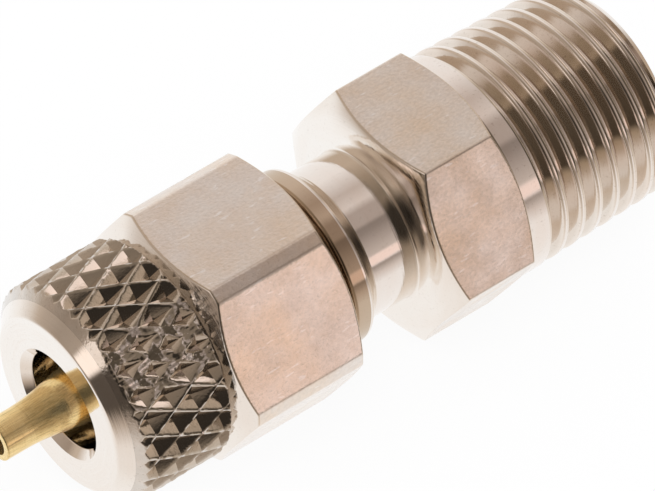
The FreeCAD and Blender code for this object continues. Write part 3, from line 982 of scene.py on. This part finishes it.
def build_world():
    """White for the camera. Mirrored, a room with a dark warm side towards -Y and up.

    The tone follows atan2(D.u, D.c), with D the direction, c the dark side's middle across X and
    u the direction at a right angle to it. D.x chooses the list of tones, and spots of dark and
    light lie over them."""
    world = bpy.data.worlds.new("Studio")
    bpy.context.scene.world = world
    world.use_nodes = True
    tree = world.node_tree
    tree.nodes.clear()
    direction = tree.nodes.new("ShaderNodeTexCoord").outputs["Generated"]
    turn = math.radians(ROOM_ANGLE)
    towards = (0, math.cos(turn), math.sin(turn))
    above = (0, math.sin(turn), -math.cos(turn))
    along_c = dotted(tree, direction, towards)
    along_u = dotted(tree, direction, above)
    angle = maths(tree, "ARCTAN2", along_u, along_c)
    across = add_node(tree, "ShaderNodeSeparateXYZ", {0: direction}).outputs[0]
    tone = (1, 1, 1, 1)
    for tones, tint, start, full in ROOM:
        share = graded(tree, across, start, full)
        tone = mixed(tree, share, tone, tone_ramp(tree, angle, tones, tint))
    for centre, outer, inner, share, colour in ROOM_SPOTS:
        spot = around_direction(tree, direction, centre, outer, inner)
        tone = laid_over(tree, tone, (*colour, 1), spot, share)
    room = add_node(tree, "ShaderNodeBackground", {"Color": tone})
    white = add_node(tree, "ShaderNodeBackground", {"Color": (1, 1, 1, 1)})
    rays = tree.nodes.new("ShaderNodeLightPath")
    level = add_node(tree, "ShaderNodeBackground", {"Color": SOFT_LIGHT, "Strength": 0.85})
    mirrored = add_node(tree, "ShaderNodeMixShader", {
        0: rays.outputs["Is Glossy Ray"], 1: level.outputs[0], 2: room.outputs[0]})
    seen = add_node(tree, "ShaderNodeMixShader", {
        0: rays.outputs["Is Camera Ray"], 1: mirrored.outputs[0], 2: white.outputs[0]})
    add_node(tree, "ShaderNodeOutputWorld", {0: seen.outputs[0]})


def build_floor(shadow):
    """A pale floor, 3 m square, under the fitting. To the camera it is white but for a shadow."""
    half = 1.5
    height = -FLAT_RADIUS * MILLIMETRE
    mesh = bpy.data.meshes.new("floor")
    mesh.from_pydata([(-half, -half, height), (half, -half, height), (half, half, height),
                      (-half, half, height)], [], [(0, 1, 2, 3)])
    floor = add_object("floor", mesh)
    material = bpy.data.materials.new("pale_floor")
    material.use_nodes = True
    tree = material.node_tree
    tree.nodes.clear()
    matt = add_node(tree, "ShaderNodeBsdfDiffuse", {"Color": (0.9, 0.9, 0.9, 1)})
    white = add_node(tree, "ShaderNodeEmission", {"Color": (1, 1, 1, 1)})
    rays = tree.nodes.new("ShaderNodeLightPath")
    share = maths(tree, "MULTIPLY", rays.outputs["Is Camera Ray"], 1 - shadow)
    seen = add_node(tree, "ShaderNodeMixShader", {0: share, 1: matt.outputs[0],
                                                  2: white.outputs[0]})
    add_node(tree, "ShaderNodeOutputMaterial", {0: seen.outputs[0]})
    mesh.materials.append(material)
    floor.visible_glossy = False


def build_camera(stage):
    """The camera at the photograph's angle, so that the nut's face lies at its place in the frame.

    The face lies at (column, row) of a 655 x 491 frame, at depth Z along the view, and one pixel
    there is Z / focal pixels wide."""
    width, height = 655, 491
    column, row = 57.94, 404.74
    camera_data = bpy.data.cameras.new("camera")
    camera = add_object("camera", camera_data)
    camera_data.sensor_width = 36.0
    camera_data.lens = stage.lens
    camera_data.clip_start = 0.01
    camera_data.clip_end = 10.0
    across = math.cos(stage.elevation)
    back = Vector((math.sin(stage.azimuth) * across, -math.cos(stage.azimuth) * across,
                   math.sin(stage.elevation)))
    level = Vector((0, 0, 1)).cross(back).normalized()
    upright = back.cross(level)
    right = level * math.cos(stage.roll) + upright * math.sin(stage.roll)
    up = back.cross(right)
    pixel = stage.distance * camera_data.sensor_width / (stage.lens * width)
    face = Vector((NUT_FACE * MILLIMETRE, 0, 0))
    place = (face + back * stage.distance - right * (column - width / 2) * pixel
             + up * (row - height / 2) * pixel)
    turned = Matrix((right, up, back)).transposed().to_4x4()
    camera.matrix_world = Matrix.Translation(place) @ turned
    bpy.context.scene.camera = camera


class FITTING_OT_body(bpy.types.Operator):
    """Build the fitting's body with its threads, neck and hexagon"""
    bl_idname = "fitting.make_body"
    bl_label = "Body"

    def execute(self, context):
        scene = context.scene
        angles = column_angles(BODY_COLUMNS, 0.0, 0.7)
        finish = scene.fitting_finish
        finishes = [shared_nickel(finish),
                    flat_nickel(finish, "nickel_rough_flats", rough=0.21, grainy=0.22),
                    thread_nickel(finish),
                    turned_nickel(finish, "nickel_film", finish.collar_film)]
        bands = body_bands(scene.fitting_body, angles)
        dress(ring_object("body_detail", angles, bands, finishes), "fitting", "fitting_body")
        return {"FINISHED"}


class FITTING_OT_nut(bpy.types.Operator):
    """Build the union nut with its knurl, hexagon and inner thread"""
    bl_idname = "fitting.make_nut"
    bl_label = "Union nut"

    def execute(self, context):
        scene = context.scene
        angles = column_angles(NUT_COLUMNS, KNURL_TURN)
        finish = scene.fitting_finish
        finishes = [shared_nickel(finish), flat_nickel(finish), knurled_nickel(finish)]
        bands = nut_bands(scene.fitting_nut, angles)
        dress(ring_object("nut_detail", angles, bands, finishes), "nut", "union_nut")
        return {"FINISHED"}


class FITTING_OT_nozzle(bpy.types.Operator):
    """Build the brass hose nozzle"""
    bl_idname = "fitting.make_nozzle"
    bl_label = "Nozzle"

    def execute(self, context):
        scene = context.scene
        angles = column_angles(NOZZLE_COLUMNS, 0.0)
        bands = nozzle_bands(scene.fitting_nozzle, angles)
        made = ring_object("nozzle_detail", angles, bands, [turned_brass(scene.fitting_finish)])
        dress(made, "fitting", "nozzle")
        return {"FINISHED"}


class FITTING_OT_stage(bpy.types.Operator):
    """Set the floor, the light, the world and the camera"""
    bl_idname = "fitting.set_stage"
    bl_label = "Stage"

    def execute(self, context):
        stage = context.scene.fitting_stage
        context.scene.view_settings.view_transform = "Standard"
        build_world()
        build_floor(stage.shadow)
        lamp = bpy.data.lights.new("soft_sun", "SUN")
        lamp.energy = stage.sun
        lamp.angle = math.radians(40)
        sun = add_object("soft_sun", lamp)
        sun.rotation_euler = (math.radians(25), math.radians(-20), 0)
        sun.visible_glossy = False
        build_camera(stage)
        return {"FINISHED"}


class FITTING_PT_panel(bpy.types.Panel):
    """Sizes, colours and operators of the fitting"""
    bl_label = "Straight threaded fitting"
    bl_space_type = "VIEW_3D"
    bl_region_type = "UI"
    bl_category = "Fitting"

    def draw(self, context):
        for operator in OPERATORS:
            self.layout.operator(operator.bl_idname)
        for name, group in SETTINGS.items():
            box = self.layout.box()
            for label in group.__annotations__:
                box.prop(getattr(context.scene, name), label)


SETTINGS = {
    "fitting_body": FittingBodySettings,
    "fitting_nut": UnionNutSettings,
    "fitting_nozzle": NozzleSettings,
    "fitting_finish": FinishSettings,
    "fitting_stage": StageSettings,
}
OPERATORS = (FITTING_OT_body, FITTING_OT_nut, FITTING_OT_nozzle, FITTING_OT_stage)


def register():
    """Register the classes, and give the scene its settings."""
    for made in (*SETTINGS.values(), *OPERATORS, FITTING_PT_panel):
        bpy.utils.register_class(made)
    for name, group in SETTINGS.items():
        setattr(bpy.types.Scene, name, PointerProperty(type=group))


def unregister():
    """Take the settings and the classes away again."""
    for name in SETTINGS:
        delattr(bpy.types.Scene, name)
    for made in reversed((*SETTINGS.values(), *OPERATORS, FITTING_PT_panel)):
        bpy.utils.unregister_class(made)


def main():
    """Build every piece and the stage."""
    register()
    bpy.ops.fitting.make_body()
    bpy.ops.fitting.make_nut()
    bpy.ops.fitting.make_nozzle()
    bpy.ops.fitting.set_stage()


if __name__ == "__main__":
    main()
